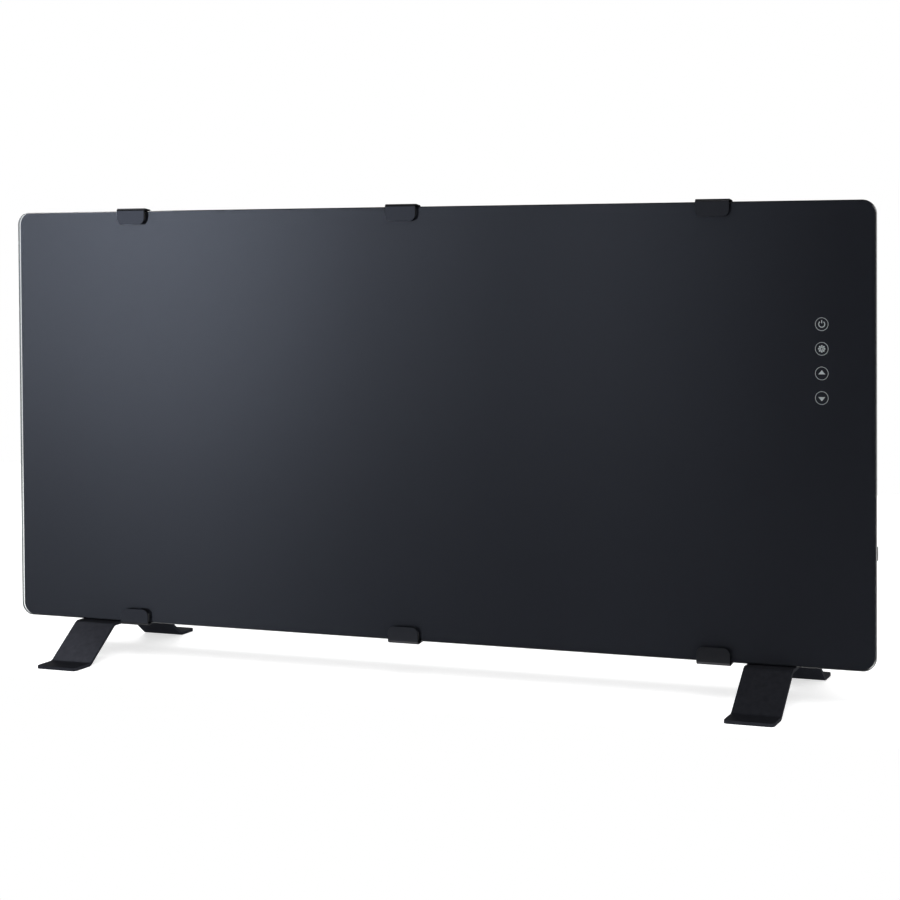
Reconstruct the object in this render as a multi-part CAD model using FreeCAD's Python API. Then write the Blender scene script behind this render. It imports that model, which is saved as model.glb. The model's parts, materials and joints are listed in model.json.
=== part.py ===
import FreeCAD, Part
import math
import os
from FreeCAD import Vector

# Free-standing glass panel heater, in millimetres.
# The origin is on the floor under the middle of the body. The glass faces -Y and Z points up.

# Glass panel and its place
glass_width = 850.0
glass_height = 400.0
glass_thickness = 5.0
glass_corner_radius = 12.0
glass_arris = 0.8
floor_gap = 35.0
body_depth = 68.0

# Clearances and tolerances that all pieces share
cut_overrun = 1.0
hole_clearance = 0.1
place_tolerance = 0.001
parallel_tolerance = 1e-6
hidden_sides = 12

# Clips that hook over the glass edges, and their silicone pads
clip_width = 30.0
clip_sheet = 1.5
clip_overlap = 13.0
clip_leg_reach = 27.0
clip_bend_radius = 1.0
clip_tab_radius = 6.0
clip_edge_gap = 1.2
clip_web_drop = 1.4
clip_foot_gap = 8.9
clip_row_shift = -4.7
clip_centre_shift = -4.6
liner_thickness = 3.0
liner_margin = 1.0
liner_chamfer = 4.0

# Feet
foot_depth = 230.0
foot_width = 43.0
foot_sheet = 3.0
foot_side_inset = 90.6
foot_toe_length = 27.0
foot_plate_length = 86.0
foot_bend_radius = 5.0
foot_toe_radius = 4.0
foot_glass_gap = 0.5

# Chassis tray behind the glass
chassis_sheet = 1.0
chassis_flange = 14.0
chassis_fit = 0.2

# Rear cover
housing_side_inset = 12.5
housing_top_inset = 9.5
cover_sheet = 1.0
cover_corner_radius = 10.0
cover_edge_radius = 7.0
cover_recess_depth = 1.5
cover_recess_margin = 36.0
cover_recess_radius = 15.0
vent_width = 5.0
vent_length = 30.0
vent_pitch = 17.0
vent_side_margin = 50.0
keyhole_radius = 5.0
keyhole_slot_width = 5.0
keyhole_slot_rise = 11.0
keyhole_pitch_x = 500.0
keyhole_height = 110.0
keyhole_drop = 61.0

# Heating elements
element_fin_span = 52.0
element_fin_thickness = 2.2
element_fin_angle = 27.0
element_hub_radius = 7.0
element_height = 60.0
element_pitch = 70.0
element_pin_radius = 3.0
element_pin_depth = 20.0
element_pin_tail = 8.0
insulator_width = 12.0
insulator_flange_width = 17.0
insulator_flange = 3.0
insulator_barrel = 6.0

# Element brackets and heat shield
bracket_sheet = 1.2
bracket_flange = 14.0
bracket_bend_radius = 1.2
bracket_margin = 32.0
left_end_bay = 60.0
right_bracket_gap = 25.0
shield_sheet = 0.8
shield_gap = 6.0
shield_lip = 8.0
shield_overhang = 5.0
shield_bend_radius = 1.0

# Overheat cutout
cutout_width = 18.0
cutout_length = 38.0
cutout_base = 1.2
cutout_can_radius = 8.0
cutout_can_height = 9.0
cutout_blade_width = 6.0
cutout_blade_thickness = 0.8
cutout_blade_length = 6.0
cutout_blade_pitch = 8.0
cutout_side_gap = 28.0

# Control bay partition and its grommets
bay_width = 125.0
partition_sheet = 1.0
partition_flange = 14.0
partition_bend_radius = 1.0
partition_gap = 1.0
partition_foot_gap = 30.0
partition_head_gap = 69.0
grommet_width = 12.0
grommet_neck_width = 9.0
grommet_length = 6.0

# Touch keys
icon_inset = 47.7
icon_height = 263.0
icon_pitch = 21.0
icon_count = 4
touch_board_width = 34.0
touch_board_margin = 17.0
touch_board_thickness = 1.6
touch_setback = 10.0
touch_holder_wall = 6.0
touch_post_width = 8.0

# Power board
board_width = 82.0
board_height = 80.0
board_thickness = 1.6
board_gap = 12.0
board_side_gap = 4.0
standoff_inset = 5.0
standoff_flats = 6.0
standoff_sides = 6
standoff_height = 8.0
relay_size = Vector(16.0, 17.0, 20.0)
relay_pitch = 20.0
relay_inset = 10.0
relay_chamfer = 0.7
transformer_size = Vector(26.0, 20.0, 24.0)
transformer_chamfer = 2.0
capacitor_radius = 6.0
capacitor_height = 18.0
part_row_inset = 16.0

# Flat ribbon between the two boards
ribbon_width = 12.0
ribbon_thickness = 0.6
ribbon_bend_radius = 2.0
ribbon_rise = 8.0
ribbon_touch_inset = 9.0
ribbon_board_inset = 14.0

# Tip-over switch, terminal block, room sensor and cord bush
tip_size = Vector(20.0, 14.0, 16.0)
tip_offset = 35.0
terminal_size = Vector(30.0, 24.0, 20.0)
terminal_offset = 65.0
terminal_height = 40.0
terminal_groove = 2.0
ear_length = 8.0
ear_thickness = 2.0
sensor_radius = 2.5
sensor_height = 14.0
sensor_flange_radius = 5.0
sensor_flange = 1.5
sensor_offset = 20.0
bush_bore_radius = 4.0
bush_neck_radius = 6.5
bush_flange_radius = 9.0
bush_flange = 2.0
bush_rim = 0.7
bush_length = 10.0
bush_offset = 55.0
bush_height = 60.0

# Rocker switch on the right side
switch_setback = 42.0
switch_height = 94.0
bezel_length = 21.0
bezel_height = 15.4
bezel_thickness = 2.0
bezel_radius = 1.2
bezel_chamfer = 0.5
barrel_length = 19.2
barrel_height = 13.6
barrel_depth = 14.0
barrel_fit = 0.2
well_length = 17.4
well_height = 12.4
well_floor_gap = 0.4
rocker_side_gap = 0.1
rocker_radius = 8.4
rocker_tip_reach = 8.2
rocker_tip_rise = 2.6
rocker_middle_rise = 1.9
rocker_pivot_depth = 1.0
rocker_pin_radius = 0.6
rocker_pin_gap = 0.05
rocker_pin_length = 0.8
rocker_swing = 20.0
blade_width = 6.3
blade_thickness = 0.8
blade_length = 7.0
blade_pitch = 9.0

# Inner wiring
lead_radius = 1.4
lead_sides = 8
lead_board_inset = 5.0
lead_row_pitch = 10.0
lead_first_row = 12.0
supply_lead_pitch = 12.0
supply_lead_setback = 18.0
switch_lead_pitch = 24.0

# Directions
X = Vector(1, 0, 0)
Y = Vector(0, 1, 0)
Z = Vector(0, 0, 1)

# Levels in depth
glass_front_y = -body_depth / 2
glass_back_y = glass_front_y + glass_thickness
chassis_front_y = glass_back_y + liner_thickness + clip_sheet
chassis_back_y = chassis_front_y + chassis_sheet
chassis_rim_y = chassis_front_y + chassis_flange
cover_back_y = body_depth / 2
recess_back_y = cover_back_y - cover_recess_depth
recess_inner_y = recess_back_y - cover_sheet
shield_back_y = recess_inner_y - shield_gap
bracket_back_y = shield_back_y - shield_sheet
element_y = (chassis_back_y + bracket_back_y) / 2
touch_front_y = glass_back_y + touch_setback
touch_back_y = touch_front_y + touch_board_thickness
board_front_y = chassis_back_y + standoff_height
board_back_y = board_front_y + board_thickness
vent_y = (chassis_rim_y + cover_back_y) / 2

# Levels in height
glass_bottom_z = floor_gap
glass_top_z = floor_gap + glass_height
foot_height = floor_gap - foot_glass_gap
cover_bottom_z = foot_height
cover_top_z = glass_top_z - housing_top_inset
cover_floor_z = cover_bottom_z + cover_sheet
lower_element_z = cover_bottom_z + element_height
upper_element_z = lower_element_z + element_pitch
element_middle_z = (lower_element_z + upper_element_z) / 2
bracket_low_z = lower_element_z - bracket_margin
bracket_high_z = upper_element_z + bracket_margin
touch_z = glass_bottom_z + icon_height
touch_half_height = (icon_count - 1) * icon_pitch / 2 + touch_board_margin
board_high_z = touch_z - touch_half_height - board_gap
board_low_z = board_high_z - board_height
partition_low_z = cover_floor_z + partition_foot_gap
partition_high_z = cover_top_z - partition_head_gap
terminal_z = cover_bottom_z + terminal_height
switch_z = glass_bottom_z + switch_height

# Places across the width
foot_spacing = glass_width - 2 * foot_side_inset
clip_pitch = (foot_spacing - foot_width - clip_width) / 2 - clip_foot_gap
cover_half_width = glass_width / 2 - housing_side_inset
inner_half_width = cover_half_width - cover_sheet
chassis_half_width = inner_half_width - chassis_fit
partition_x = inner_half_width - bay_width
left_web_x = left_end_bay - inner_half_width
right_web_x = partition_x - right_bracket_gap
cutout_x = cutout_side_gap - inner_half_width
touch_x = glass_width / 2 - icon_inset
board_low_x = partition_x + partition_flange + board_side_gap
board_high_x = board_low_x + board_width
tip_x = partition_x + tip_offset
terminal_x = partition_x + terminal_offset
bush_x = partition_x + bush_offset
sensor_x = partition_x + sensor_offset
switch_y = glass_front_y + switch_setback


# Shared forms

def box(low, high):
    """Box between two corners."""
    size = high - low
    return Part.makeBox(size.x, size.y, size.z, low)


def runs_along(edge, axis):
    """True for a straight edge that is parallel to the axis."""
    if edge.Curve.TypeId != "Part::GeomLine":
        return False
    return edge.tangentAt(edge.FirstParameter).cross(axis).Length < parallel_tolerance


def upright_plate(half_width, bottom_z, top_z, front_y, back_y, radius):
    """Plate that stands in X and Z, centred in X, with round corners."""
    plate = box(Vector(-half_width, front_y, bottom_z), Vector(half_width, back_y, top_z))
    corners = [edge for edge in plate.Edges if runs_along(edge, Y)]
    return plate.makeFillet(radius, corners)


def edges_at_depth(solid, y):
    """Edges that lie wholly at one depth."""
    low = y - place_tolerance
    high = y + place_tolerance
    return [edge for edge in solid.Edges if low < edge.BoundBox.YMin and edge.BoundBox.YMax < high]


def offset_path(points, normal, radius, offset):
    """The rounded path moved sideways in its plane by offset, so that its arcs stay concentric."""
    runs = [(after - before).normalize() for before, after in zip(points, points[1:])]
    edges = []
    start = points[0] + normal.cross(runs[0]) * offset
    for before, after, corner in zip(runs, runs[1:], points[1:-1]):
        turn = math.copysign(1, normal.dot(before.cross(after)))
        reach = radius * math.tan(before.getAngle(after) / 2)
        inward_before = normal.cross(before) * turn
        inward_after = normal.cross(after) * turn
        centre = corner - before * reach + inward_before * radius
        arc_radius = radius - offset * turn
        first = centre - inward_before * arc_radius
        middle = centre - (inward_before + inward_after).normalize() * arc_radius
        last = centre - inward_after * arc_radius
        edges.append(Part.LineSegment(start, first).toShape())
        edges.append(Part.Arc(first, middle, last).toShape())
        start = last
    end = points[-1] + normal.cross(runs[-1]) * offset
    edges.append(Part.LineSegment(start, end).toShape())
    return edges


def bent_sheet(points, normal, sheet, bend_radius, width):
    """Sheet of even thickness bent along a middle line and drawn out along the normal."""
    middle_radius = bend_radius + sheet / 2
    edges = []
    rims = []
    for offset in (sheet / 2, -sheet / 2):
        side = offset_path(points, normal, middle_radius, offset)
        rims.append((side[0].firstVertex().Point, side[-1].lastVertex().Point))
        edges.extend(side)
    for first, second in zip(*rims):
        edges.append(Part.LineSegment(first, second).toShape())
    profile = Part.Face(Part.Wire(Part.__sortEdges__(edges)))
    return profile.extrude(normal * width)


def turned(outline, base, direction):
    """Turned piece: (radius, height) points spun about the direction through base."""
    points = [Vector(radius, 0, height) for radius, height in outline]
    section = Part.Face(Part.makePolygon(points + points[:1]))
    piece = section.revolve(Vector(0, 0, 0), Z, 360)
    piece.Placement = FreeCAD.Placement(base, FreeCAD.Rotation(Z, direction))
    return piece


def bar(base, direction, radius, length):
    """Round bar."""
    return Part.makeCylinder(radius, length, base, direction)


def slot(centre, along, through, length, width, depth):
    """Round-ended slot prism that starts at centre and runs along through."""
    run = along * ((length - width) / 2)
    tip = along * (width / 2)
    side = through.cross(along) * (width / 2)
    edges = [Part.Arc(centre + run + side, centre + run + tip, centre + run - side).toShape(),
             Part.LineSegment(centre + run - side, centre - run - side).toShape(),
             Part.Arc(centre - run - side, centre - run - tip, centre - run + side).toShape(),
             Part.LineSegment(centre - run + side, centre + run + side).toShape()]
    return Part.Face(Part.Wire(edges)).extrude(through * depth)


def centred_box(centre, size):
    """Box round its centre."""
    return box(centre - size / 2, centre + size / 2)


def ring(centre, direction, radius, sides):
    """Closed even-sided outline about the direction."""
    side = direction.cross(Y if abs(direction.y) < parallel_tolerance else Z)
    corners = []
    for index in range(sides + 1):
        turn = FreeCAD.Rotation(direction, index * 360 / sides)
        corners.append(centre + turn.multVec(side) * radius)
    return Part.makePolygon(corners)


def pillar(base, direction, radius, length, sides=hidden_sides):
    """Bar with few sides, for what stays hidden in the housing."""
    return Part.Face(ring(base, direction, radius, sides)).extrude(direction * length)


def lead(points):
    """Insulated wire along straight runs."""
    along = (points[1] - points[0]).normalize()
    mitred = 1
    section = ring(points[0], along, lead_radius, lead_sides)
    return Part.Wire(Part.makePolygon(points)).makePipeShell([section], True, False, mitred)


def row(count, pitch):
    """Places of a centred row."""
    return [(index - (count - 1) / 2) * pitch for index in range(count)]


# Glass, clips and liners

def glass_panel():
    """Toughened glass with ground edges."""
    plate = upright_plate(glass_width / 2, glass_bottom_z, glass_top_z, glass_front_y, glass_back_y,
                          glass_corner_radius)
    rims = edges_at_depth(plate, glass_front_y) + edges_at_depth(plate, glass_back_y)
    return plate.makeChamfer(glass_arris, rims)


def clip_places():
    """Name, place in X, glass edge and outward direction of each clip."""
    columns = (("left", -clip_pitch), ("centre", clip_centre_shift), ("right", clip_pitch))
    places = []
    for level, edge_z, outward in (("top", glass_top_z, 1), ("bottom", glass_bottom_z, -1)):
        for side, offset in columns:
            places.append((level + "_" + side, clip_row_shift + offset, edge_z, outward))
    return places


def glass_clip(x, edge_z, outward):
    """Bent steel hook: rounded tab in front of the glass, sloping web, leg on the chassis behind it."""
    low_x = x - clip_width / 2
    front_y = glass_front_y - liner_thickness - clip_sheet / 2
    back_y = glass_back_y + liner_thickness + clip_sheet / 2
    tab_z = edge_z - outward * clip_overlap
    web_z = edge_z + outward * (clip_edge_gap + clip_sheet / 2)
    web_back_z = web_z - outward * clip_web_drop
    leg_z = edge_z - outward * clip_leg_reach
    line = [Vector(low_x, front_y, tab_z), Vector(low_x, front_y, web_z),
            Vector(low_x, back_y, web_back_z), Vector(low_x, back_y, leg_z)]
    strip = bent_sheet(line, X, clip_sheet, clip_bend_radius, clip_width)
    corners = [edge for edge in strip.Edges
               if runs_along(edge, Y) and abs(edge.CenterOfMass.z - tab_z) < place_tolerance]
    return strip.makeFillet(clip_tab_radius, corners)


def clip_liner(x, edge_z, outward):
    """Silicone pads between one clip and the two faces of the glass."""
    half_width = clip_width / 2 - liner_margin
    start_z = edge_z - outward * clip_bend_radius
    end_z = edge_z - outward * (clip_overlap - liner_margin)
    low_z = min(start_z, end_z)
    high_z = max(start_z, end_z)
    pads = []
    for front_y in (glass_front_y - liner_thickness, glass_back_y):
        pad = box(Vector(x - half_width, front_y, low_z),
                  Vector(x + half_width, front_y + liner_thickness, high_z))
        corners = [edge for edge in pad.Edges
                   if runs_along(edge, Y) and abs(edge.CenterOfMass.z - end_z) < place_tolerance]
        pads.append(pad.makeChamfer(liner_chamfer, corners))
    return pads


# Feet

def foot(side):
    """Steel strip bent to toe, leg, plate, leg and toe."""
    x = side * foot_spacing / 2 - foot_width / 2
    half_depth = foot_depth / 2
    low_z = foot_sheet / 2
    high_z = foot_height - foot_sheet / 2
    line = [Vector(x, -half_depth, low_z), Vector(x, foot_toe_length - half_depth, low_z),
            Vector(x, -foot_plate_length / 2, high_z), Vector(x, foot_plate_length / 2, high_z),
            Vector(x, half_depth - foot_toe_length, low_z), Vector(x, half_depth, low_z)]
    strip = bent_sheet(line, X, foot_sheet, foot_bend_radius, foot_width)
    corners = [edge for edge in strip.Edges if runs_along(edge, Z)]
    return strip.makeFillet(foot_toe_radius, corners)


# Housing

def front_chassis():
    """Folded tray behind the glass that carries the clips and the inner pieces."""
    low_z = cover_floor_z + chassis_fit
    high_z = cover_top_z - cover_sheet - chassis_fit
    radius = cover_corner_radius - cover_sheet - chassis_fit
    outer = upright_plate(chassis_half_width, low_z, high_z, chassis_front_y, chassis_rim_y, radius)
    inner = upright_plate(chassis_half_width - chassis_sheet, low_z + chassis_sheet, high_z - chassis_sheet,
                          chassis_back_y, chassis_rim_y + cut_overrun, radius - chassis_sheet)
    return outer.cut(inner).cut(touch_window())


def vent_slots():
    """Cutters for the outlet slots above and the inlet slots below."""
    size = Vector(vent_width, vent_length, 2 * (cover_sheet + cut_overrun))
    spans = ((cover_top_z, cover_half_width - vent_side_margin),
             (cover_bottom_z, partition_x - vent_side_margin))
    cutters = []
    for edge_z, half_span in spans:
        count = 2 * int(half_span / vent_pitch) + 1
        for x in row(count, vent_pitch):
            cutters.append(centred_box(Vector(x, vent_y, edge_z), size))
    return cutters


def keyhole_cutters():
    """Round head holes with narrow slots above, for screws in a wall."""
    cutters = []
    for x in row(2, keyhole_pitch_x):
        for z in (cover_bottom_z + keyhole_height, cover_top_z - keyhole_drop):
            start = Vector(x, recess_inner_y - cut_overrun, z)
            depth = cover_sheet + 2 * cut_overrun
            length = keyhole_slot_rise + keyhole_slot_width
            cutters.append(bar(start, Y, keyhole_radius, depth))
            middle = start + Z * (keyhole_slot_rise / 2)
            cutters.append(slot(middle, Z, Y, length, keyhole_slot_width, depth))
    return cutters


def recessed_block(inset, front_y, back_y):
    """Block with rounded rear edges and a shallow pressed field in its back."""
    block = upright_plate(cover_half_width - inset, cover_bottom_z + inset, cover_top_z - inset,
                          front_y, back_y, cover_corner_radius - inset)
    block = block.makeFillet(cover_edge_radius - inset, edges_at_depth(block, back_y))
    margin = cover_recess_margin - inset
    field = upright_plate(cover_half_width - margin, cover_bottom_z + margin, cover_top_z - margin,
                          back_y - cover_recess_depth, back_y + cut_overrun, cover_recess_radius + inset)
    return block.cut(field)


def rear_cover():
    """Pressed steel cover with vents, keyholes, cord inlet and switch opening."""
    outer = recessed_block(0, chassis_front_y, cover_back_y)
    inner = recessed_block(cover_sheet, chassis_front_y - cut_overrun, cover_back_y - cover_sheet)
    cover = outer.cut(inner)
    cover = cover.cut(Part.makeCompound(vent_slots()))
    for cutter in keyhole_cutters():
        cover = cover.cut(cutter)
    cover = cover.cut(bar(Vector(bush_x, element_y, cover_bottom_z + bush_height), Y,
                          bush_neck_radius + hole_clearance, body_depth))
    half_length = barrel_length / 2 + barrel_fit
    half_height = barrel_height / 2 + barrel_fit
    opening = box(Vector(inner_half_width - cut_overrun, switch_y - half_length, switch_z - half_height),
                  Vector(cover_half_width + cut_overrun, switch_y + half_length, switch_z + half_height))
    return cover.cut(opening)


# Heating elements and what carries them

def heating_element(z):
    """Aluminium extrusion with crossed fins round a bored hub."""
    start_x = left_web_x + bracket_sheet / 2 + insulator_flange
    length = right_web_x - bracket_sheet / 2 - insulator_flange - start_x
    centre = Vector(start_x, element_y, z)
    profile = bar(centre, X, element_hub_radius, length)
    for angle in (element_fin_angle, -element_fin_angle):
        size = Vector(length, element_fin_thickness, element_fin_span)
        fin = centred_box(centre + X * (length / 2), size)
        fin.rotate(centre, X, angle)
        profile = profile.fuse(fin)
    bore_radius = element_pin_radius + hole_clearance
    for end in (centre, centre + X * (length - element_pin_depth)):
        profile = profile.cut(pillar(end, X, bore_radius, element_pin_depth))
    return profile.removeSplitter()


def element_ends():
    """Outer face of the bracket web, and the direction away from the element, at each element end."""
    ends = []
    for z in (upper_element_z, lower_element_z):
        ends.append((Vector(left_web_x - bracket_sheet / 2, element_y, z), -X))
        ends.append((Vector(right_web_x + bracket_sheet / 2, element_y, z), X))
    return ends


def element_pins():
    """Steel terminal pins in the hub ends."""
    inner = bracket_sheet + insulator_flange + element_pin_depth
    length = inner + insulator_barrel + element_pin_tail
    return [pillar(face - away * inner, away, element_pin_radius, length) for face, away in element_ends()]


def element_insulators():
    """Square ceramic bushes that hold the pins in the bracket webs."""
    barrel = bracket_sheet + insulator_barrel
    flange_size = Vector(insulator_flange, insulator_flange_width, insulator_flange_width)
    barrel_size = Vector(barrel, insulator_width, insulator_width)
    pieces = []
    for face, away in element_ends():
        inner = face - away * bracket_sheet
        bush = centred_box(inner - away * (insulator_flange / 2), flange_size)
        bush = bush.fuse(centred_box(inner + away * (barrel / 2), barrel_size))
        bore = pillar(inner - away * (insulator_flange + cut_overrun), away,
                      element_pin_radius + hole_clearance, insulator_flange + barrel + 2 * cut_overrun)
        pieces.append(bush.cut(bore).removeSplitter())
    return pieces


def element_bracket(web_x, side):
    """Folded bracket between the chassis and the heat shield, with holes for the bushes."""
    flange_x = web_x + side * bracket_flange
    front_y = chassis_back_y + bracket_sheet / 2
    back_y = bracket_back_y - bracket_sheet / 2
    line = [Vector(flange_x, front_y, bracket_low_z), Vector(web_x, front_y, bracket_low_z),
            Vector(web_x, back_y, bracket_low_z), Vector(flange_x, back_y, bracket_low_z)]
    bracket = bent_sheet(line, Z, bracket_sheet, bracket_bend_radius, bracket_high_z - bracket_low_z)
    opening = insulator_width + 2 * hole_clearance
    for z in (upper_element_z, lower_element_z):
        size = Vector(2 * bracket_sheet, opening, opening)
        bracket = bracket.cut(centred_box(Vector(web_x, element_y, z), size))
    return bracket


def heat_shield():
    """Bright sheet behind the elements with lips along its top and bottom."""
    x = left_web_x - bracket_flange
    width = right_web_x + bracket_flange - x
    face_y = shield_back_y - shield_sheet / 2
    low_z = bracket_low_z - shield_overhang
    high_z = bracket_high_z + shield_overhang
    line = [Vector(x, face_y - shield_lip, low_z), Vector(x, face_y, low_z),
            Vector(x, face_y, high_z), Vector(x, face_y - shield_lip, high_z)]
    return bent_sheet(line, X, shield_sheet, shield_bend_radius, width)


def overheat_cutout():
    """Bimetal cutout: base plate, round can and two flat blades."""
    middle = Vector(cutout_x, chassis_back_y, element_middle_z)
    top = middle + Y * cutout_base
    piece = centred_box(middle + Y * (cutout_base / 2), Vector(cutout_width, cutout_base, cutout_length))
    piece = piece.fuse(pillar(top, Y, cutout_can_radius, cutout_can_height))
    blade_size = Vector(cutout_blade_width, cutout_blade_length, cutout_blade_thickness)
    for offset in row(2, cutout_blade_pitch):
        blade_middle = top + Y * (cutout_can_height + cutout_blade_length / 2) + Z * offset
        piece = piece.fuse(centred_box(blade_middle, blade_size))
    return piece.removeSplitter()


# Control bay

def control_partition():
    """Folded sheet that keeps the control bay apart from the elements."""
    front_y = chassis_back_y + partition_sheet / 2
    back_y = recess_inner_y - partition_gap
    line = [Vector(partition_x + partition_flange, front_y, partition_low_z),
            Vector(partition_x, front_y, partition_low_z), Vector(partition_x, back_y, partition_low_z)]
    height = partition_high_z - partition_low_z
    sheet = bent_sheet(line, Z, partition_sheet, partition_bend_radius, height)
    opening = grommet_neck_width + 2 * hole_clearance
    for z in (upper_element_z, lower_element_z):
        size = Vector(2 * partition_sheet, opening, opening)
        sheet = sheet.cut(centred_box(Vector(partition_x, element_y, z), size))
    return sheet


def partition_grommets():
    """Square grommets where the element leads pass the partition."""
    pieces = []
    for z in (upper_element_z, lower_element_z):
        middle = Vector(partition_x, element_y, z)
        block = centred_box(middle, Vector(grommet_length, grommet_width, grommet_width))
        waist = centred_box(middle, Vector(partition_sheet, grommet_width, grommet_width))
        neck = centred_box(middle, Vector(partition_sheet, grommet_neck_width, grommet_neck_width))
        bore = pillar(middle - X * grommet_length, X, lead_radius + hole_clearance, 2 * grommet_length)
        pieces.append(block.cut(waist).fuse(neck).cut(bore).removeSplitter())
    return pieces


def touch_plate(front_y, back_y):
    """Plate of the touch board's outline."""
    half_width = touch_board_width / 2
    return box(Vector(touch_x - half_width, front_y, touch_z - touch_half_height),
               Vector(touch_x + half_width, back_y, touch_z + touch_half_height))


def touch_window():
    """Cutter for the opening that the key posts pass."""
    half_width = touch_board_width / 2 - touch_holder_wall
    half_height = touch_half_height - touch_holder_wall
    return box(Vector(touch_x - half_width, glass_back_y, touch_z - half_height),
               Vector(touch_x + half_width, touch_back_y, touch_z + half_height))


def touch_holder():
    """Moulded frame between the chassis and the touch board."""
    return touch_plate(chassis_back_y, touch_front_y).cut(touch_window())


def touch_posts():
    """Conductive foam posts that carry each key from the board to the glass."""
    size = Vector(touch_post_width, touch_setback, touch_post_width)
    middle = Vector(touch_x, glass_back_y + touch_setback / 2, touch_z)
    return [centred_box(middle + Z * offset, size) for offset in row(icon_count, icon_pitch)]


def standoff_spots():
    """Places in X and Z of the pillars under the power board's corners."""
    return [(x, z) for x in (board_low_x + standoff_inset, board_high_x - standoff_inset)
            for z in (board_low_z + standoff_inset, board_high_z - standoff_inset)]


def power_board():
    """Bare power board."""
    return box(Vector(board_low_x, board_front_y, board_low_z),
               Vector(board_high_x, board_back_y, board_high_z))


def board_standoffs():
    """Hexagonal pillars between the chassis and the power board."""
    radius = standoff_flats / (2 * math.cos(math.pi / standoff_sides))
    return [pillar(Vector(x, chassis_back_y, z), Y, radius, standoff_height, standoff_sides)
            for x, z in standoff_spots()]


def power_relays():
    """One relay for each heating element."""
    high_z = board_high_z - part_row_inset
    pieces = []
    for index in range(2):
        low = Vector(board_low_x + relay_inset + index * relay_pitch, board_back_y, high_z - relay_size.z)
        case = box(low, low + relay_size)
        pieces.append(case.makeChamfer(relay_chamfer, edges_at_depth(case, board_back_y + relay_size.y)))
    return pieces


def power_transformer():
    """Potted low-voltage supply block."""
    low = Vector(board_low_x + relay_inset + 2 * relay_pitch, board_back_y,
                 board_high_z - part_row_inset - transformer_size.z)
    block = box(low, low + transformer_size)
    return block.makeChamfer(transformer_chamfer, edges_at_depth(block, board_back_y + transformer_size.y))


def power_capacitor():
    """Smoothing capacitor that stands under the relays."""
    base = Vector(board_low_x + relay_inset + relay_pitch, board_back_y,
                  board_high_z - part_row_inset - relay_size.z - lead_row_pitch)
    return pillar(base, Y, capacitor_radius, capacitor_height)


def touch_ribbon():
    """Flat ribbon from the touch board down to the power board."""
    x = touch_x - ribbon_width / 2
    out_y = board_back_y + ribbon_rise
    high_z = touch_z - touch_half_height + ribbon_touch_inset
    low_z = board_high_z - ribbon_board_inset
    line = [Vector(x, touch_back_y, high_z), Vector(x, out_y, high_z),
            Vector(x, out_y, low_z), Vector(x, board_back_y, low_z)]
    return bent_sheet(line, X, ribbon_thickness, ribbon_bend_radius, ribbon_width)


def eared_case(x, z, size):
    """Small case with an ear at each end."""
    half_x = size.x / 2
    half_z = size.z / 2
    back_y = chassis_back_y + size.y
    case = box(Vector(x - half_x, chassis_back_y, z - half_z), Vector(x + half_x, back_y, z + half_z))
    ears = box(Vector(x - half_x - ear_length, chassis_back_y, z - half_z),
               Vector(x + half_x + ear_length, chassis_back_y + ear_thickness, z + half_z))
    return case.fuse(ears).removeSplitter()


def tip_over_switch():
    """Sealed case of the switch that cuts the power when the heater falls."""
    return eared_case(tip_x, lower_element_z, tip_size)


def terminal_block():
    """Supply terminals with grooves between the poles."""
    block = eared_case(terminal_x, terminal_z, terminal_size)
    back_y = chassis_back_y + terminal_size.y
    half_z = terminal_size.z / 2 + cut_overrun
    for offset in row(2, supply_lead_pitch / 2 + terminal_groove):
        x = terminal_x + offset
        low = Vector(x - terminal_groove / 2, back_y - terminal_groove, terminal_z - half_z)
        high = Vector(x + terminal_groove / 2, back_y + cut_overrun, terminal_z + half_z)
        block = block.cut(box(low, high))
    return block


def room_sensor():
    """Temperature probe that stands on the housing floor in the inlet air."""
    base = Vector(sensor_x, vent_y, cover_floor_z)
    probe = pillar(base, Z, sensor_radius, sensor_height)
    return probe.fuse(pillar(base, Z, sensor_flange_radius, sensor_flange)).removeSplitter()


def cord_bush():
    """Snap-in bush for the supply cord in the cover's back."""
    outline = [(bush_bore_radius, -bush_flange), (bush_flange_radius - bush_rim, -bush_flange),
               (bush_flange_radius, bush_rim - bush_flange), (bush_flange_radius, 0), (bush_neck_radius, 0),
               (bush_neck_radius, bush_length), (bush_bore_radius, bush_length)]
    return turned(outline, Vector(bush_x, recess_back_y, cover_bottom_z + bush_height), -Y)


# Rocker switch

pivot_x = cover_half_width + bezel_thickness - rocker_pivot_depth
switch_centre = Vector(0, switch_y, switch_z)


def switch_block(low_x, high_x, length, height):
    """Block centred on the switch, between two places in X."""
    half = Vector(0, length / 2, height / 2)
    return box(switch_centre - half + X * low_x, switch_centre + half + X * high_x)


def switch_housing():
    """Snap-in switch case: bezel on the cover's side, barrel inside, well for the rocker."""
    face_x = cover_half_width + bezel_thickness
    bezel = switch_block(cover_half_width, face_x, bezel_length, bezel_height)
    bezel = bezel.makeFillet(bezel_radius, [edge for edge in bezel.Edges if runs_along(edge, X)])
    rim = [edge for edge in bezel.Edges if face_x - edge.BoundBox.XMin < place_tolerance]
    bezel = bezel.makeChamfer(bezel_chamfer, rim)
    barrel = switch_block(cover_half_width - barrel_depth, cover_half_width, barrel_length, barrel_height)
    case = bezel.fuse(barrel)
    well_floor_x = pivot_x - rocker_radius - well_floor_gap
    case = case.cut(switch_block(well_floor_x, face_x + cut_overrun, well_length, well_height))
    reach = well_height / 2 + rocker_pin_length
    start = switch_centre + X * pivot_x - Z * reach
    case = case.cut(bar(start, Z, rocker_pin_radius + rocker_pin_gap, 2 * reach))
    return case.removeSplitter()


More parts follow.
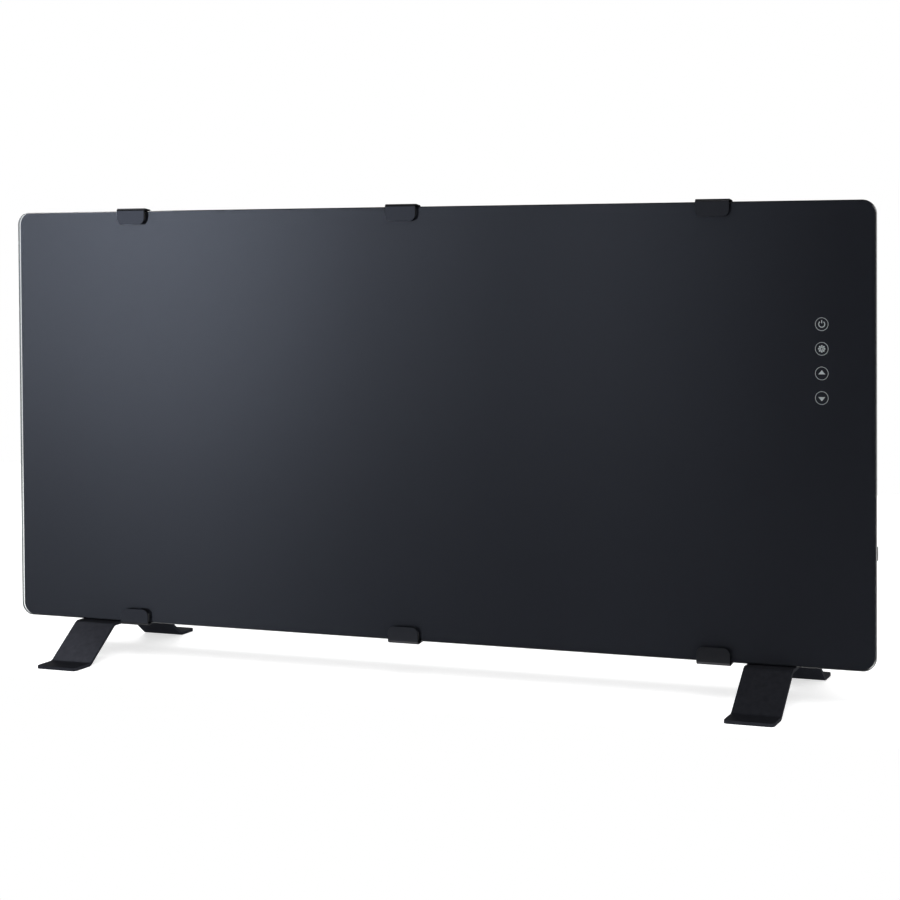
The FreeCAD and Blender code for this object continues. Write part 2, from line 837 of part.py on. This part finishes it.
def switch_rocker():
    """Rocker with a hollowed top and a round belly on its pivot pins, at rest with its rear end raised."""
    half_width = well_height / 2 - rocker_side_gap
    centre = switch_centre + X * pivot_x - Z * half_width

    def at(reach, rise):
        return centre + X * rise + Y * reach

    edges = [Part.Arc(at(rocker_radius, 0), at(0, -rocker_radius), at(-rocker_radius, 0)).toShape(),
             Part.LineSegment(at(-rocker_radius, 0), at(-rocker_tip_reach, rocker_tip_rise)).toShape(),
             Part.Arc(at(-rocker_tip_reach, rocker_tip_rise), at(0, rocker_middle_rise),
                      at(rocker_tip_reach, rocker_tip_rise)).toShape(),
             Part.LineSegment(at(rocker_tip_reach, rocker_tip_rise), at(rocker_radius, 0)).toShape()]
    body = Part.Face(Part.Wire(edges)).extrude(Z * (2 * half_width))
    pin_reach = half_width + rocker_pin_length
    body = body.fuse(bar(switch_centre + X * pivot_x - Z * pin_reach, Z, rocker_pin_radius, 2 * pin_reach))
    body.rotate(switch_centre + X * pivot_x, Z, -rocker_swing / 2)
    return body


def switch_terminals():
    """Flat blades at the inner end of the switch."""
    end_x = cover_half_width - barrel_depth
    pieces = []
    for offset in row(2, blade_pitch):
        half = Vector(0, blade_thickness / 2, blade_width / 2)
        centre = switch_centre + Y * offset
        pieces.append(box(centre - half + X * (end_x - blade_length), centre + half + X * end_x))
    return pieces


# Inner wiring

def link_leads():
    """Leads from the two left element pins to the overheat cutout."""
    start_x = left_web_x - bracket_sheet / 2 - insulator_barrel - element_pin_tail
    blade_y = chassis_back_y + cutout_base + cutout_can_height + cutout_blade_length
    pieces = []
    for z, offset in zip((lower_element_z, upper_element_z), row(2, cutout_blade_pitch)):
        end_z = element_middle_z + offset
        pieces.append(lead([Vector(start_x, element_y, z), Vector(cutout_x, element_y, z),
                            Vector(cutout_x, element_y, end_z), Vector(cutout_x, blade_y, end_z)]))
    return pieces


def element_leads():
    """Leads from the right element pins to the power board and the tip-over switch."""
    start_x = right_web_x + bracket_sheet / 2 + insulator_barrel + element_pin_tail
    board_x = board_low_x + lead_board_inset
    board_z = board_low_z + lead_first_row
    tip_y = chassis_back_y + tip_size.y
    upper = [Vector(start_x, element_y, upper_element_z), Vector(board_x, element_y, upper_element_z),
             Vector(board_x, element_y, board_z), Vector(board_x, board_back_y, board_z)]
    lower = [Vector(start_x, element_y, lower_element_z), Vector(tip_x, element_y, lower_element_z),
             Vector(tip_x, tip_y, lower_element_z)]
    return [lead(upper), lead(lower)]


def switch_leads():
    """Leads from the switch blades to the terminal block."""
    start_x = cover_half_width - barrel_depth - blade_length
    end_y = chassis_back_y + supply_lead_setback
    end_z = terminal_z + terminal_size.z / 2
    pieces = []
    for offset, across in zip(row(2, blade_pitch), row(2, switch_lead_pitch)):
        y = switch_y + offset
        x = terminal_x - across
        pieces.append(lead([Vector(start_x, y, switch_z), Vector(x, y, switch_z),
                            Vector(x, end_y, switch_z), Vector(x, end_y, end_z)]))
    return pieces


def supply_leads():
    """Leads from the terminal block up to the power board."""
    y = chassis_back_y + supply_lead_setback
    start_z = terminal_z + terminal_size.z / 2
    end_z = board_low_z + lead_first_row
    columns = [terminal_x + offset for offset in row(2, supply_lead_pitch)]
    return [lead([Vector(x, y, start_z), Vector(x, y, end_z), Vector(x, board_back_y, end_z)])
            for x in columns]


# All nodes, each a solid or a group of separate solids

def all_pieces():
    """Name and solids of every node."""
    pieces = {"glass_panel": [glass_panel()]}
    for name, x, edge_z, outward in clip_places():
        pieces["glass_clip_" + name] = [glass_clip(x, edge_z, outward)]
    pieces["clip_liners"] = [pad for name, x, edge_z, outward in clip_places()
                             for pad in clip_liner(x, edge_z, outward)]
    pieces["left_foot"] = [foot(-1)]
    pieces["right_foot"] = [foot(1)]
    pieces["front_chassis"] = [front_chassis()]
    pieces["rear_cover"] = [rear_cover()]
    pieces["upper_heating_element"] = [heating_element(upper_element_z)]
    pieces["lower_heating_element"] = [heating_element(lower_element_z)]
    pieces["element_pins"] = element_pins()
    pieces["element_insulators"] = element_insulators()
    pieces["left_element_bracket"] = [element_bracket(left_web_x, -1)]
    pieces["right_element_bracket"] = [element_bracket(right_web_x, 1)]
    pieces["heat_shield"] = [heat_shield()]
    pieces["overheat_cutout"] = [overheat_cutout()]
    pieces["control_partition"] = [control_partition()]
    pieces["partition_grommets"] = partition_grommets()
    pieces["touch_board"] = [touch_plate(touch_front_y, touch_back_y)]
    pieces["touch_holder"] = [touch_holder()]
    pieces["touch_posts"] = touch_posts()
    pieces["touch_ribbon"] = [touch_ribbon()]
    pieces["power_board"] = [power_board()]
    pieces["board_standoffs"] = board_standoffs()
    pieces["power_relays"] = power_relays()
    pieces["power_transformer"] = [power_transformer()]
    pieces["power_capacitor"] = [power_capacitor()]
    pieces["tip_over_switch"] = [tip_over_switch()]
    pieces["terminal_block"] = [terminal_block()]
    pieces["room_sensor"] = [room_sensor()]
    pieces["cord_bush"] = [cord_bush()]
    pieces["switch_housing"] = [switch_housing()]
    pieces["switch_rocker"] = [switch_rocker()]
    pieces["switch_terminals"] = switch_terminals()
    pieces["link_leads"] = link_leads()
    pieces["element_leads"] = element_leads()
    pieces["switch_leads"] = switch_leads()
    pieces["supply_leads"] = supply_leads()
    return pieces


os.makedirs("parts", exist_ok=True)
for node, solids in all_pieces().items():
    shape = solids[0] if len(solids) == 1 else Part.makeCompound(solids)
    shape.exportStep("parts/" + node + ".step")
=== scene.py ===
import json
import math

import bmesh
import bpy
from mathutils import Matrix, Vector


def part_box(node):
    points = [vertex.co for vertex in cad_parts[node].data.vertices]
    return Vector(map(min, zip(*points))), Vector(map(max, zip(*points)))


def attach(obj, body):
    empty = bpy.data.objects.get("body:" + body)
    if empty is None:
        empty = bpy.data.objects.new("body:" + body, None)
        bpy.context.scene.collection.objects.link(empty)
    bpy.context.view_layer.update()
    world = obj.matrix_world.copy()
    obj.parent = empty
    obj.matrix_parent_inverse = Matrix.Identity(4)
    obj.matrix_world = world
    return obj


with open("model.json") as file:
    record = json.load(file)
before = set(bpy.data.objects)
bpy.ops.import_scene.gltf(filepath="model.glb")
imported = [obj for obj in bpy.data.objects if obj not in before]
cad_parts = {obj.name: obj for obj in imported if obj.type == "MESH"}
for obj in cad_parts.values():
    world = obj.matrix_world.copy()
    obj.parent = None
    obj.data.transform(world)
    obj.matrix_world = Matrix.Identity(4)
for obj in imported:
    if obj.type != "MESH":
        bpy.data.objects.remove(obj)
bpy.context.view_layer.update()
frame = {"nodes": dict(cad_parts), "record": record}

# Free-standing glass panel heater, in metres, in the frame of the solids.
# The glass faces -Y, X runs to the right and Z points up.

# Print behind the glass
print_side_margin = 0.0014
print_head_margin = 0.0004
print_corner = 0.0117
print_depth = 0.00006
arc_steps = 48

# Key marks: a ring with a sign in it
mark_lift = 0.00003
mark_line = 0.0004
mark_radius = 0.0057
mark_shift = 0.0008
power_radius = 0.0030
power_line = 0.0008
power_gap = math.radians(38)
stroke_rise = 0.0021
stroke_half_width = 0.0004
stroke_half_height = 0.0013
petal_count = 8
petal_reach = 0.0024
petal_radius = 0.0008
petal_steps = 12
hub_radius = 0.0015
hub_line = 0.0007
arrow_offset = 0.0010
arrow_half_width = 0.0030
arrow_half_height = 0.0018

# Screws that show on the housing and under the feet
cover_screw_radius = 0.0035
cover_screw_height = 0.0021
cover_screw_inset = 0.007
cover_screw_spread = 0.110
cover_screw_row = 0.200
foot_screw_radius = 0.00475
foot_screw_height = 0.0026
foot_screw_spread = 0.015
foot_sheet = 0.003
screw_steps = 24

# Pan head and its cross recess, in shares of the head's radius and height
head_profile = ((1.00, 0.0), (1.00, 0.40), (0.95, 0.68), (0.84, 0.88), (0.68, 1.0))
recess_reach = 0.50
recess_half_width = 0.12
recess_taper = 0.7
recess_floor = 0.35

# Middle range of the noise, and how much coarser the shades are than the pores
noise_low = 0.3
noise_high = 0.7
shade_coarseness = 12

# Glass, whose polished faces look along Y and whose ground edges look away from it
glass_index = 1.5
ground_facing = 0.9
polished_facing = 0.99
ground_roughness = 0.12
polish_least = 0.08
polish_most = 0.12
polish_grain = 0.25
ground_tint = (0.13, 0.145, 0.14)
polished_tint = (0.93, 0.95, 0.94)

# Finish of each slot: dark and light shade, least and most roughness, grain, relief,
# metal share, gloss, gloss at a grazing angle
coats = {
    "clip_coat": ((0.0475, 0.0480, 0.0508), (0.0515, 0.0520, 0.0548), 0.22, 0.28, 0.0004, 0.000006,
                  0.9, 0.0, 0.1),
    "foot_coat": ((0.0205, 0.0214, 0.0262), (0.0272, 0.0284, 0.0342), 0.42, 0.52, 0.0004, 0.000008,
                  0.7, 0.0, 0.4),
    "housing_coat": ((0.012, 0.0125, 0.014), (0.019, 0.0195, 0.021), 0.45, 0.60, 0.0007, 0.00005,
                     0.0, 0.35),
    "silicone": ((0.035, 0.035, 0.036), (0.050, 0.050, 0.051), 0.55, 0.70, 0.0006, 0.00001),
    "plated_steel": ((0.56, 0.56, 0.55), (0.66, 0.66, 0.64), 0.28, 0.42, 0.0012, 0.000004, 1.0),
    "element_alloy": ((0.68, 0.69, 0.70), (0.78, 0.79, 0.80), 0.30, 0.45, 0.0010, 0.000005, 1.0),
    "ceramic": ((0.80, 0.78, 0.72), (0.88, 0.86, 0.80), 0.18, 0.30, 0.0015, 0.000006),
    "board": ((0.020, 0.120, 0.050), (0.035, 0.170, 0.075), 0.38, 0.50, 0.0008, 0.000008),
    "component_case": ((0.030, 0.030, 0.032), (0.050, 0.050, 0.053), 0.42, 0.55, 0.0005, 0.00001),
    "white_nylon": ((0.74, 0.74, 0.71), (0.83, 0.83, 0.81), 0.40, 0.52, 0.0008, 0.00001),
    "foam": ((0.050, 0.050, 0.050), (0.090, 0.090, 0.090), 0.75, 0.90, 0.0008, 0.00008),
    "switch_plastic": ((0.005, 0.005, 0.006), (0.008, 0.008, 0.009), 0.46, 0.54, 0.0003, 0.000006,
                       0.0, 0.12),
    "brass_blade": ((0.66, 0.50, 0.22), (0.76, 0.60, 0.30), 0.25, 0.38, 0.0010, 0.000004, 1.0),
    "lead_sleeve": ((0.42, 0.05, 0.04), (0.54, 0.08, 0.06), 0.45, 0.60, 0.0010, 0.00001),
}

# Finish of the two prints, in the same order
black_ink = ((0.0218, 0.0233, 0.0306), (0.0226, 0.0241, 0.0314), 0.8, 0.9, 0.004, 0, 0.0, 0.0)
grey_ink = ((0.72, 0.77, 0.79), (0.78, 0.83, 0.85), 0.8, 0.9, 0.0004, 0, 0.0, 0.0)

# Camera, from the photograph
camera_place = Vector((0.7535, -1.7981, 0.3886))
camera_yaw = math.radians(22.08)
camera_pitch = math.radians(1.54)
camera_roll = math.radians(-0.35)
camera_lens = 83.6
camera_shift = -0.152

# Floor of pale paper
floor_half_width = 1.6
floor_front = -0.16
floor_back = 1.6
floor_fade = 0.05
floor_lift = 0.66
paper_roughness = 0.9
paper_grain = 0.004
paper_dark = 0.80
paper_light = 0.82

# Surround: its fill light, and its ceiling, which dims between two heights of the view
fill_level = 0.6
ceiling_level = 0.12
ceiling_start = 0.35
ceiling_full = 0.70

# Dark wall that the glass reflects: its light is the product of a curve across and a curve up
card_distance = 3.0
card_low = Vector((-4.5, -card_distance, -4.0))
card_high = Vector((6.0, -card_distance, 4.0))
card_shade = (0.02, 0.02, 0.02, 1)
card_light = (0.90, 1.0, 1.24, 1)
card_base = 0.05
card_peak = 2.44
card_across = ((-4.5, 0.45), (-2.4, 0.78), (-1.95, 1.0), (-1.5, 0.53), (-1.1, 0.24), (-0.7, 0.18),
               (-0.2, 0.0), (0.8, 0.0), (1.8, 0.2), (3.0, 0.7), (4.2, 0.7), (6.0, 0.35))
card_rise = ((-4.0, 0.0), (-1.6, 0.04), (-0.7, 0.14), (-0.1, 0.48), (0.4, 0.95), (0.6, 1.0),
             (0.95, 0.35), (1.4, 0.05), (4.0, 0.0))

# Soft boxes: place, target, size and power
lamps = {
    "key_lamp": ((0.7, -1.7, 2.0), (0, 0, 0.2), 1.4, 28),
    "top_lamp": ((-1.6, 0.1, 1.9), (-0.2, 0, 0.1), 0.9, 18),
    "side_lamp": ((2.2, -0.6, 1.4), (0.2, 0, 0.2), 1.2, 10),
}


# Shader helpers

def new_material(name):
    """Material with its Principled shader."""
    material = bpy.data.materials.new(name)
    material.use_nodes = True
    return material, material.node_tree, material.node_tree.nodes["Principled BSDF"]


def add_node(tree, kind, **values):
    """Node whose properties or inputs are set by name."""
    node = tree.nodes.new(kind)
    for key, value in values.items():
        if key in node.inputs:
            node.inputs[key].default_value = value
        else:
            setattr(node, key, value)
    return node


def grain(tree, size, detail=3.0):
    """Noise of a given grain size in object space, as an output from 0 to 1."""
    place = add_node(tree, "ShaderNodeTexCoord")
    noise = add_node(tree, "ShaderNodeTexNoise", Scale=1 / size, Detail=detail)
    tree.links.new(place.outputs["Object"], noise.inputs["Vector"])
    return noise.outputs["Fac"]


def spread(tree, source, low, high):
    """The source stretched from its middle range to low and high."""
    node = add_node(tree, "ShaderNodeMapRange")
    for index, value in enumerate((noise_low, noise_high, low, high), start=1):
        node.inputs[index].default_value = value
    tree.links.new(source, node.inputs[0])
    return node.outputs[0]


def ramp(tree, source, stops, low=0.0, high=1.0):
    """Colour ramp over a span, whose stops are a place and a grey level or a colour."""
    place = add_node(tree, "ShaderNodeMapRange")
    place.inputs[1].default_value = low
    place.inputs[2].default_value = high
    tree.links.new(source, place.inputs[0])
    node = add_node(tree, "ShaderNodeValToRGB")
    node.color_ramp.interpolation = "CARDINAL" if len(stops) > 2 else "LINEAR"
    elements = node.color_ramp.elements
    while len(elements) < len(stops):
        elements.new(1.0)
    for element, (position, level) in zip(elements, stops):
        element.position = (position - low) / (high - low)
        element.color = (*level, 1) if isinstance(level, tuple) else (level, level, level, 1)
    tree.links.new(place.outputs[0], node.inputs["Fac"])
    return node.outputs["Color"]


def relief(tree, shader, source, depth):
    """Fine relief on the shader's normal."""
    bump = add_node(tree, "ShaderNodeBump", Strength=1.0, Distance=depth)
    tree.links.new(source, bump.inputs["Height"])
    tree.links.new(bump.outputs["Normal"], shader.inputs["Normal"])


def finish(name, dark, light, smooth, rough, size, depth, metallic=0.0, specular=0.5, rim=1.0):
    """Finish whose colour, roughness and relief follow a fine grain."""
    material, tree, shader = new_material(name)
    pores = grain(tree, size)
    shades = grain(tree, size * shade_coarseness)
    colour = ramp(tree, shades, ((noise_low, dark), (noise_high, light)))
    tree.links.new(colour, shader.inputs["Base Color"])
    tree.links.new(spread(tree, pores, smooth, rough), shader.inputs["Roughness"])
    if depth:
        relief(tree, shader, pores, depth)
    shader.inputs["Metallic"].default_value = metallic
    shader.inputs["Specular IOR Level"].default_value = specular
    shader.inputs["Specular Tint"].default_value = (rim, rim, rim, 1)
    return material


def glass_finish(name):
    """Clear glass with polished faces and darker ground edges."""
    material, tree, shader = new_material(name)
    shader.inputs["Transmission Weight"].default_value = 1.0
    shader.inputs["IOR"].default_value = glass_index
    geometry = add_node(tree, "ShaderNodeNewGeometry")
    parts = add_node(tree, "ShaderNodeSeparateXYZ")
    facing = add_node(tree, "ShaderNodeMath", operation="ABSOLUTE")
    tree.links.new(geometry.outputs["Normal"], parts.inputs[0])
    tree.links.new(parts.outputs["Y"], facing.inputs[0])
    roughness = add_node(tree, "ShaderNodeMapRange")
    for index, value in enumerate((ground_facing, polished_facing, ground_roughness), start=1):
        roughness.inputs[index].default_value = value
    polish = spread(tree, grain(tree, polish_grain, 0.0), polish_least, polish_most)
    tree.links.new(facing.outputs[0], roughness.inputs[0])
    tree.links.new(polish, roughness.inputs[4])
    tree.links.new(roughness.outputs[0], shader.inputs["Roughness"])
    stops = ((ground_facing, ground_tint), (polished_facing, polished_tint))
    tree.links.new(ramp(tree, facing.outputs[0], stops), shader.inputs["Base Color"])
    return material


finishes = {slot: finish(slot, *values) for slot, values in coats.items()}
finishes["glass"] = glass_finish("clear_glass")
for part in frame["record"]["subparts"]:
    node = frame["nodes"][part["node"]]
    node.data.materials.clear()
    node.data.materials.append(finishes[part["material_slot"]])

print_finish = finish("black_print", *black_ink)
mark_finish = finish("grey_print", *grey_ink)


# Pieces of the scene

def node_box(name):
    """Lowest and highest corner of a solid."""
    low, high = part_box(name)
    return Vector(low), Vector(high)


def add_piece(name, build, material):
    """Object made of a finished bmesh, on the heater."""
    mesh = bpy.data.meshes.new(name)
    bmesh.ops.recalc_face_normals(build, faces=build.faces)
    build.to_mesh(mesh)
    build.free()
    piece = bpy.data.objects.new(name, mesh)
    bpy.context.scene.collection.objects.link(piece)
    piece.data.materials.append(material)
    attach(piece, "heater")


# Flat printed pieces

def arc_points(centre, radius, start, end, steps):
    """Points in X and Z along an arc, with angles in radians from +X towards +Z."""
    angles = [start + (end - start) * index / steps for index in range(steps + 1)]
    return [centre + Vector((math.cos(angle), 0, math.sin(angle))) * radius for angle in angles]


def rounded_outline(centre, half_width, half_height, radius):
    """Outline of an upright rectangle with round corners."""
    outline = []
    for quarter, (side, level) in enumerate(((1, 1), (-1, 1), (-1, -1), (1, -1))):
        corner = centre + Vector((side * (half_width - radius), 0, level * (half_height - radius)))
        start = quarter * math.pi / 2
        outline += arc_points(corner, radius, start, start + math.pi / 2, arc_steps // 4)
    return outline


def printed_piece(name, shapes, material):
    """Flat piece of closed outlines."""
    build = bmesh.new()
    for outline in shapes:
        build.faces.new([build.verts.new(point) for point in outline])
    add_piece(name, build, material)


def band(centre, radius, line, start=0.0, end=2 * math.pi):
    """Even line along an arc, as a row of four-sided outlines."""
    outer = arc_points(centre, radius, start, end, arc_steps)
    inner = arc_points(centre, radius - line, start, end, arc_steps)
    return [[outer[index], outer[index + 1], inner[index + 1], inner[index]] for index in range(arc_steps)]


def power_mark(centre):
    """Open ring with a stroke in its gap."""
    ring = band(centre, power_radius, power_line, math.pi / 2 + power_gap, 2.5 * math.pi - power_gap)
    middle = centre + Vector((0, 0, stroke_rise))
    corners = ((-1, -1), (1, -1), (1, 1), (-1, 1))
    stroke = [middle + Vector((x * stroke_half_width, 0, z * stroke_half_height)) for x, z in corners]
    return ring + [stroke]


def mode_mark(centre):
    """Ring of petals round a small ring."""
    petals = []
    for index in range(petal_count):
        angle = 2 * math.pi * index / petal_count
        tip = centre + Vector((math.cos(angle), 0, math.sin(angle))) * petal_reach
        petals.append(arc_points(tip, petal_radius, 0, 2 * math.pi, petal_steps)[:-1])
    return petals + band(centre, hub_radius, hub_line)


def arrow_mark(centre, direction):
    """Triangle that points up for a direction of 1 and down for -1."""
    middle = centre + Vector((0, 0, direction * arrow_offset))
    half_height = direction * arrow_half_height
    corners = ((-1, -1), (1, -1), (0, 1))
    return [[middle + Vector((x * arrow_half_width, 0, z * half_height)) for x, z in corners]]


def up_mark(centre):
    """Triangle that points up."""
    return arrow_mark(centre, 1)


def down_mark(centre):
    """Triangle that points down."""
    return arrow_mark(centre, -1)


glass_low, glass_high = node_box("glass_panel")
print_y = glass_high.y - print_depth
print_low = glass_low + Vector((print_side_margin, 0, print_head_margin))
print_high = glass_high - Vector((print_side_margin, 0, print_head_margin))
half_print = (print_high - print_low) / 2
print_centre = (print_low + print_high) / 2
print_centre.y = print_y
printed_piece("glass_print", [rounded_outline(print_centre, half_print.x, half_print.z, print_corner)],
              print_finish)

# Key marks from the lowest to the highest, each in front of its post
posts_low, posts_high = node_box("touch_posts")
post_width = posts_high.x - posts_low.x
mark_x = (posts_low.x + posts_high.x) / 2 + mark_shift
marks = (("key_down", down_mark), ("key_up", up_mark), ("key_mode", mode_mark), ("key_power", power_mark))
mark_pitch = (posts_high.z - posts_low.z - post_width) / (len(marks) - 1)
for index, (name, draw) in enumerate(marks):
    height = posts_low.z + post_width / 2 + index * mark_pitch
    centre = Vector((mark_x, print_y - mark_lift, height))
    printed_piece(name, band(centre, mark_radius, mark_line) + draw(centre), mark_finish)


# Screws with cross recesses

def pan_head(build, place, outward, radius, height):
    """Adds a pan head that sits at place and faces outward."""
    turn = Matrix.Translation(place) @ outward.to_track_quat("Z", "X").to_matrix().to_4x4()
    rings = []
    for share, level in head_profile:
        ring = []
        for index in range(screw_steps):
            angle = 2 * math.pi * index / screw_steps
            reach = share * radius
            spot = Vector((math.cos(angle) * reach, math.sin(angle) * reach, level * height))
            ring.append(build.verts.new(turn @ spot))
        rings.append(ring)
    for lower, upper in zip(rings, rings[1:]):
        for index in range(screw_steps):
            after = (index + 1) % screw_steps
            build.faces.new((lower[index], lower[after], upper[after], upper[index]))
    arm = recess_reach * radius
    half = recess_half_width * radius
    cross = ((arm, half), (half, half), (half, arm), (-half, arm), (-half, half), (-arm, half),
             (-arm, -half), (-half, -half), (-half, -arm), (half, -arm), (half, -half), (arm, -half))
    rim = []
    floor = []
    for x, y in cross:
        rim.append(build.verts.new(turn @ Vector((x, y, height))))
    for x, y in cross:
        spot = Vector((x * recess_taper, y * recess_taper, height * recess_floor))
        floor.append(build.verts.new(turn @ spot))
    build.faces.new(floor)
    edges = []
    for index in range(len(cross)):
        after = (index + 1) % len(cross)
        build.faces.new((rim[index], rim[after], floor[after], floor[index]))
        edges.append(build.edges.get((rim[index], rim[after])))
    for index in range(screw_steps):
        edges.append(build.edges.get((rings[-1][index], rings[-1][(index + 1) % screw_steps])))
    bmesh.ops.triangle_fill(build, use_beauty=True, edges=edges)


def screws(name, spots, radius, height):
    """One piece of pan heads, each given by its seat and outward direction."""
    build = bmesh.new()
    for place, outward in spots:
        pan_head(build, place, outward, radius, height)
    add_piece(name, build, finishes["plated_steel"])


cover_low, cover_high = node_box("rear_cover")
cover_middle = (cover_low + cover_high) / 2
screw_y = cover_low.y + cover_screw_inset
cover_spots = []
for level, outward in ((cover_high.z, Vector((0, 0, 1))), (cover_low.z, Vector((0, 0, -1)))):
    for x in (-cover_screw_row, 0, cover_screw_row):
        cover_spots.append((Vector((x, screw_y, level)), outward))
for side, outward in ((cover_high.x, Vector((1, 0, 0))), (cover_low.x, Vector((-1, 0, 0)))):
    for offset in (-cover_screw_spread, cover_screw_spread):
        cover_spots.append((Vector((side, screw_y, cover_middle.z + offset)), outward))
screws("cover_screws", cover_spots, cover_screw_radius, cover_screw_height)

foot_spots = []
for name in ("left_foot", "right_foot"):
    foot_low, foot_high = node_box(name)
    for offset in (-foot_screw_spread, foot_screw_spread):
        place = Vector(((foot_low.x + foot_high.x) / 2, offset, foot_high.z - foot_sheet))
        foot_spots.append((place, Vector((0, 0, -1))))
screws("foot_screws", foot_spots, foot_screw_radius, foot_screw_height)


# Studio: floor, reflecting wall, lamps, world and camera

def stage_plane(name, corners, material):
    """Flat four-sided stage piece."""
    mesh = bpy.data.meshes.new(name)
    mesh.from_pydata(corners, [], [(0, 1, 2, 3)])
    plane = bpy.data.objects.new(name, mesh)
    bpy.context.scene.collection.objects.link(plane)
    plane.data.materials.append(material)
    return plane


def place_axes(tree, source):
    """Texture coordinates of a kind, by axis."""
    place = add_node(tree, "ShaderNodeTexCoord")
    parts = add_node(tree, "ShaderNodeSeparateXYZ")
    tree.links.new(place.outputs[source], parts.inputs[0])
    return parts.outputs


def combine(tree, operation, first, second):
    """Result of a math node on two outputs."""
    node = add_node(tree, "ShaderNodeMath", operation=operation)
    tree.links.new(first, node.inputs[0])
    tree.links.new(second, node.inputs[1])
    return node.outputs[0]


def seen_ray(tree):
    """1 for camera, glossy and transmission rays."""
    path = add_node(tree, "ShaderNodeLightPath")
    either = combine(tree, "MAXIMUM", path.outputs["Is Camera Ray"], path.outputs["Is Glossy Ray"])
    return combine(tree, "MAXIMUM", either, path.outputs["Is Transmission Ray"])


def floor_finish():
    """Pale paper that fades out towards its edges."""
    material, tree, shader = new_material("pale_paper")
    shader.inputs["Roughness"].default_value = paper_roughness
    shader.inputs["Emission Color"].default_value = (1, 1, 1, 1)
    shade = ramp(tree, grain(tree, paper_grain), ((noise_low, paper_dark), (noise_high, paper_light)))
    tree.links.new(shade, shader.inputs["Base Color"])
    lift = add_node(tree, "ShaderNodeMath", operation="MULTIPLY")
    lift.inputs[1].default_value = floor_lift
    tree.links.new(seen_ray(tree), lift.inputs[0])
    tree.links.new(lift.outputs[0], shader.inputs["Emission Strength"])
    place = place_axes(tree, "Object")
    edges = (("X", -floor_half_width, 1), ("X", floor_half_width, -1),
             ("Y", floor_front, 1), ("Y", floor_back, -1))
    cover = None
    for axis, edge, inward in edges:
        fade = add_node(tree, "ShaderNodeMapRange", interpolation_type="SMOOTHSTEP")
        fade.inputs[1].default_value = edge
        fade.inputs[2].default_value = edge + inward * floor_fade
        tree.links.new(place[axis], fade.inputs[0])
        cover = combine(tree, "MULTIPLY", cover, fade.outputs[0]) if cover else fade.outputs[0]
    tree.links.new(cover, shader.inputs["Alpha"])
    return material


def card_finish():
    """Dark studio wall with a broad pool of light on each side, for the glass to reflect."""
    material, tree, shader = new_material("studio_wall")
    shader.inputs["Base Color"].default_value = card_shade
    shader.inputs["Specular IOR Level"].default_value = 0.0
    shader.inputs["Emission Color"].default_value = card_light
    place = place_axes(tree, "Object")
    across = ramp(tree, place["X"], card_across, card_low.x, card_high.x)
    rise = ramp(tree, place["Z"], card_rise, card_low.z, card_high.z)
    light = add_node(tree, "ShaderNodeMath", operation="MULTIPLY_ADD")
    light.inputs[1].default_value = card_peak
    light.inputs[2].default_value = card_base
    tree.links.new(combine(tree, "MULTIPLY", across, rise), light.inputs[0])
    tree.links.new(light.outputs[0], shader.inputs["Emission Strength"])
    return material


stage_plane("studio_floor", [(-floor_half_width, floor_front, 0), (floor_half_width, floor_front, 0),
                             (floor_half_width, floor_back, 0), (-floor_half_width, floor_back, 0)],
            floor_finish())

# Only mirror images show the wall
card = stage_plane("studio_card",
                   [(card_low.x, card_low.y, card_low.z), (card_low.x, card_low.y, card_high.z),
                    (card_high.x, card_low.y, card_high.z), (card_high.x, card_low.y, card_low.z)],
                   card_finish())
card.visible_camera = False
card.visible_diffuse = False
card.visible_transmission = False
card.visible_shadow = False


def soft_lamp(name, place, target, size, power):
    """Square soft box that faces the target."""
    data = bpy.data.lights.new(name, "AREA")
    data.size = size
    data.energy = power
    lamp = bpy.data.objects.new(name, data)
    lamp.location = place
    lamp.rotation_euler = (Vector(target) - Vector(place)).to_track_quat("-Z", "Y").to_euler()
    lamp.visible_transmission = False
    bpy.context.scene.collection.objects.link(lamp)


for name, values in lamps.items():
    soft_lamp(name, *values)


def studio_world():
    """White surround with a dim ceiling behind the object and in mirror images, and even fill light."""
    world = bpy.data.worlds.new("studio_world")
    world.use_nodes = True
    tree = world.node_tree
    background = tree.nodes["Background"]
    background.inputs["Color"].default_value = (1, 1, 1, 1)
    place = place_axes(tree, "Generated")
    surround = ramp(tree, place["Z"], ((ceiling_start, 1.0), (ceiling_full, ceiling_level)))
    level = add_node(tree, "ShaderNodeMapRange")
    level.inputs[3].default_value = fill_level
    tree.links.new(surround, level.inputs[4])
    tree.links.new(seen_ray(tree), level.inputs[0])
    tree.links.new(level.outputs[0], background.inputs["Strength"])
    return world


bpy.context.scene.world = studio_world()

camera_data = bpy.data.cameras.new("photo_camera")
camera_data.lens = camera_lens
camera_data.shift_y = camera_shift
camera = bpy.data.objects.new("photo_camera", camera_data)
turn = Matrix.Rotation(camera_yaw, 4, "Z") @ Matrix.Rotation(math.pi / 2 - camera_pitch, 4, "X")
camera.matrix_world = Matrix.Translation(camera_place) @ turn @ Matrix.Rotation(camera_roll, 4, "Z")
bpy.context.scene.collection.objects.link(camera)
bpy.context.scene.camera = camera
bpy.context.scene.view_settings.view_transform = "Standard"
